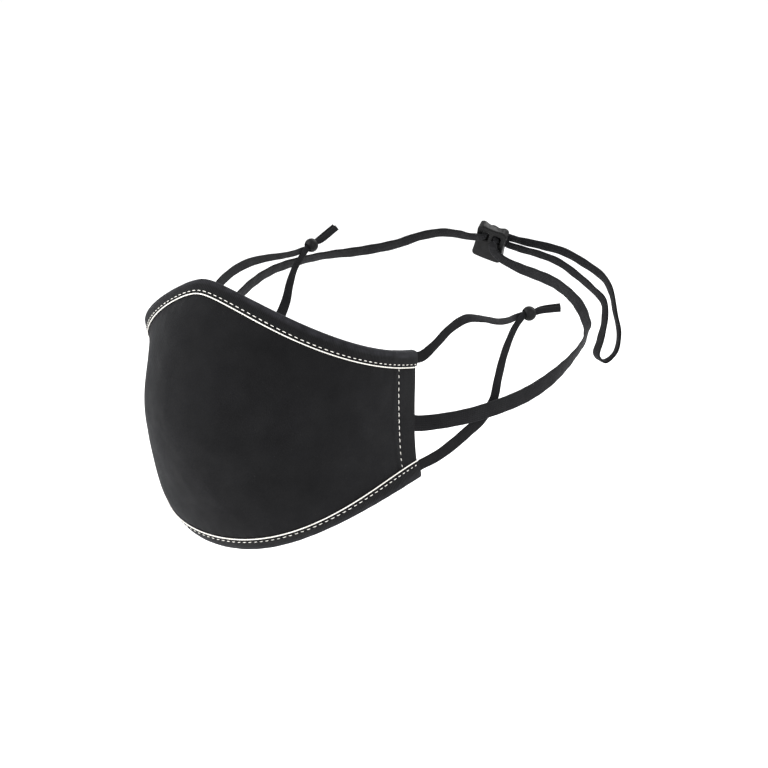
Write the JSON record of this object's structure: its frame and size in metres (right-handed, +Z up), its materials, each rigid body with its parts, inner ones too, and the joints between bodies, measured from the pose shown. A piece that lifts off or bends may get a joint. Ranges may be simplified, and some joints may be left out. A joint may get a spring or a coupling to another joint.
{
  "type": "fabric respirator half mask",
  "caption": "Reusable moulded fabric half mask with bound edges, bead-drawn ear elastics and a neck strap set by a slider.",
  "frame": {"origin": "centre of the face opening, mid-way between the two side edges and half-way up them", "axes": "+X towards the wearer's left, +Y back towards the wearer's head, +Z up"},
  "size_m": [0.1775, 0.302, 0.1443],
  "materials": {
    "face_cloth": "matt black close-woven cloth",
    "binding": "matt black ribbed binding tape",
    "thread": "off-white twisted thread",
    "elastic": "matt black knitted elastic",
    "soft_rubber": "satin black moulded rubber"
  },
  "bodies": {
    "root": {"face_panel": "face_cloth", "top_binding": "binding", "bottom_binding": "binding", "top_seam_piping": "thread", "bottom_seam_piping": "thread", "ear_band_left_upper": "elastic", "ear_band_left_lower": "elastic", "ear_band_right_upper": "elastic", "ear_band_right_lower": "elastic", "ear_bead_left": "soft_rubber", "ear_bead_right": "soft_rubber", "neck_strap": "elastic", "strap_slider": "soft_rubber"}
  },
  "joints": []
}
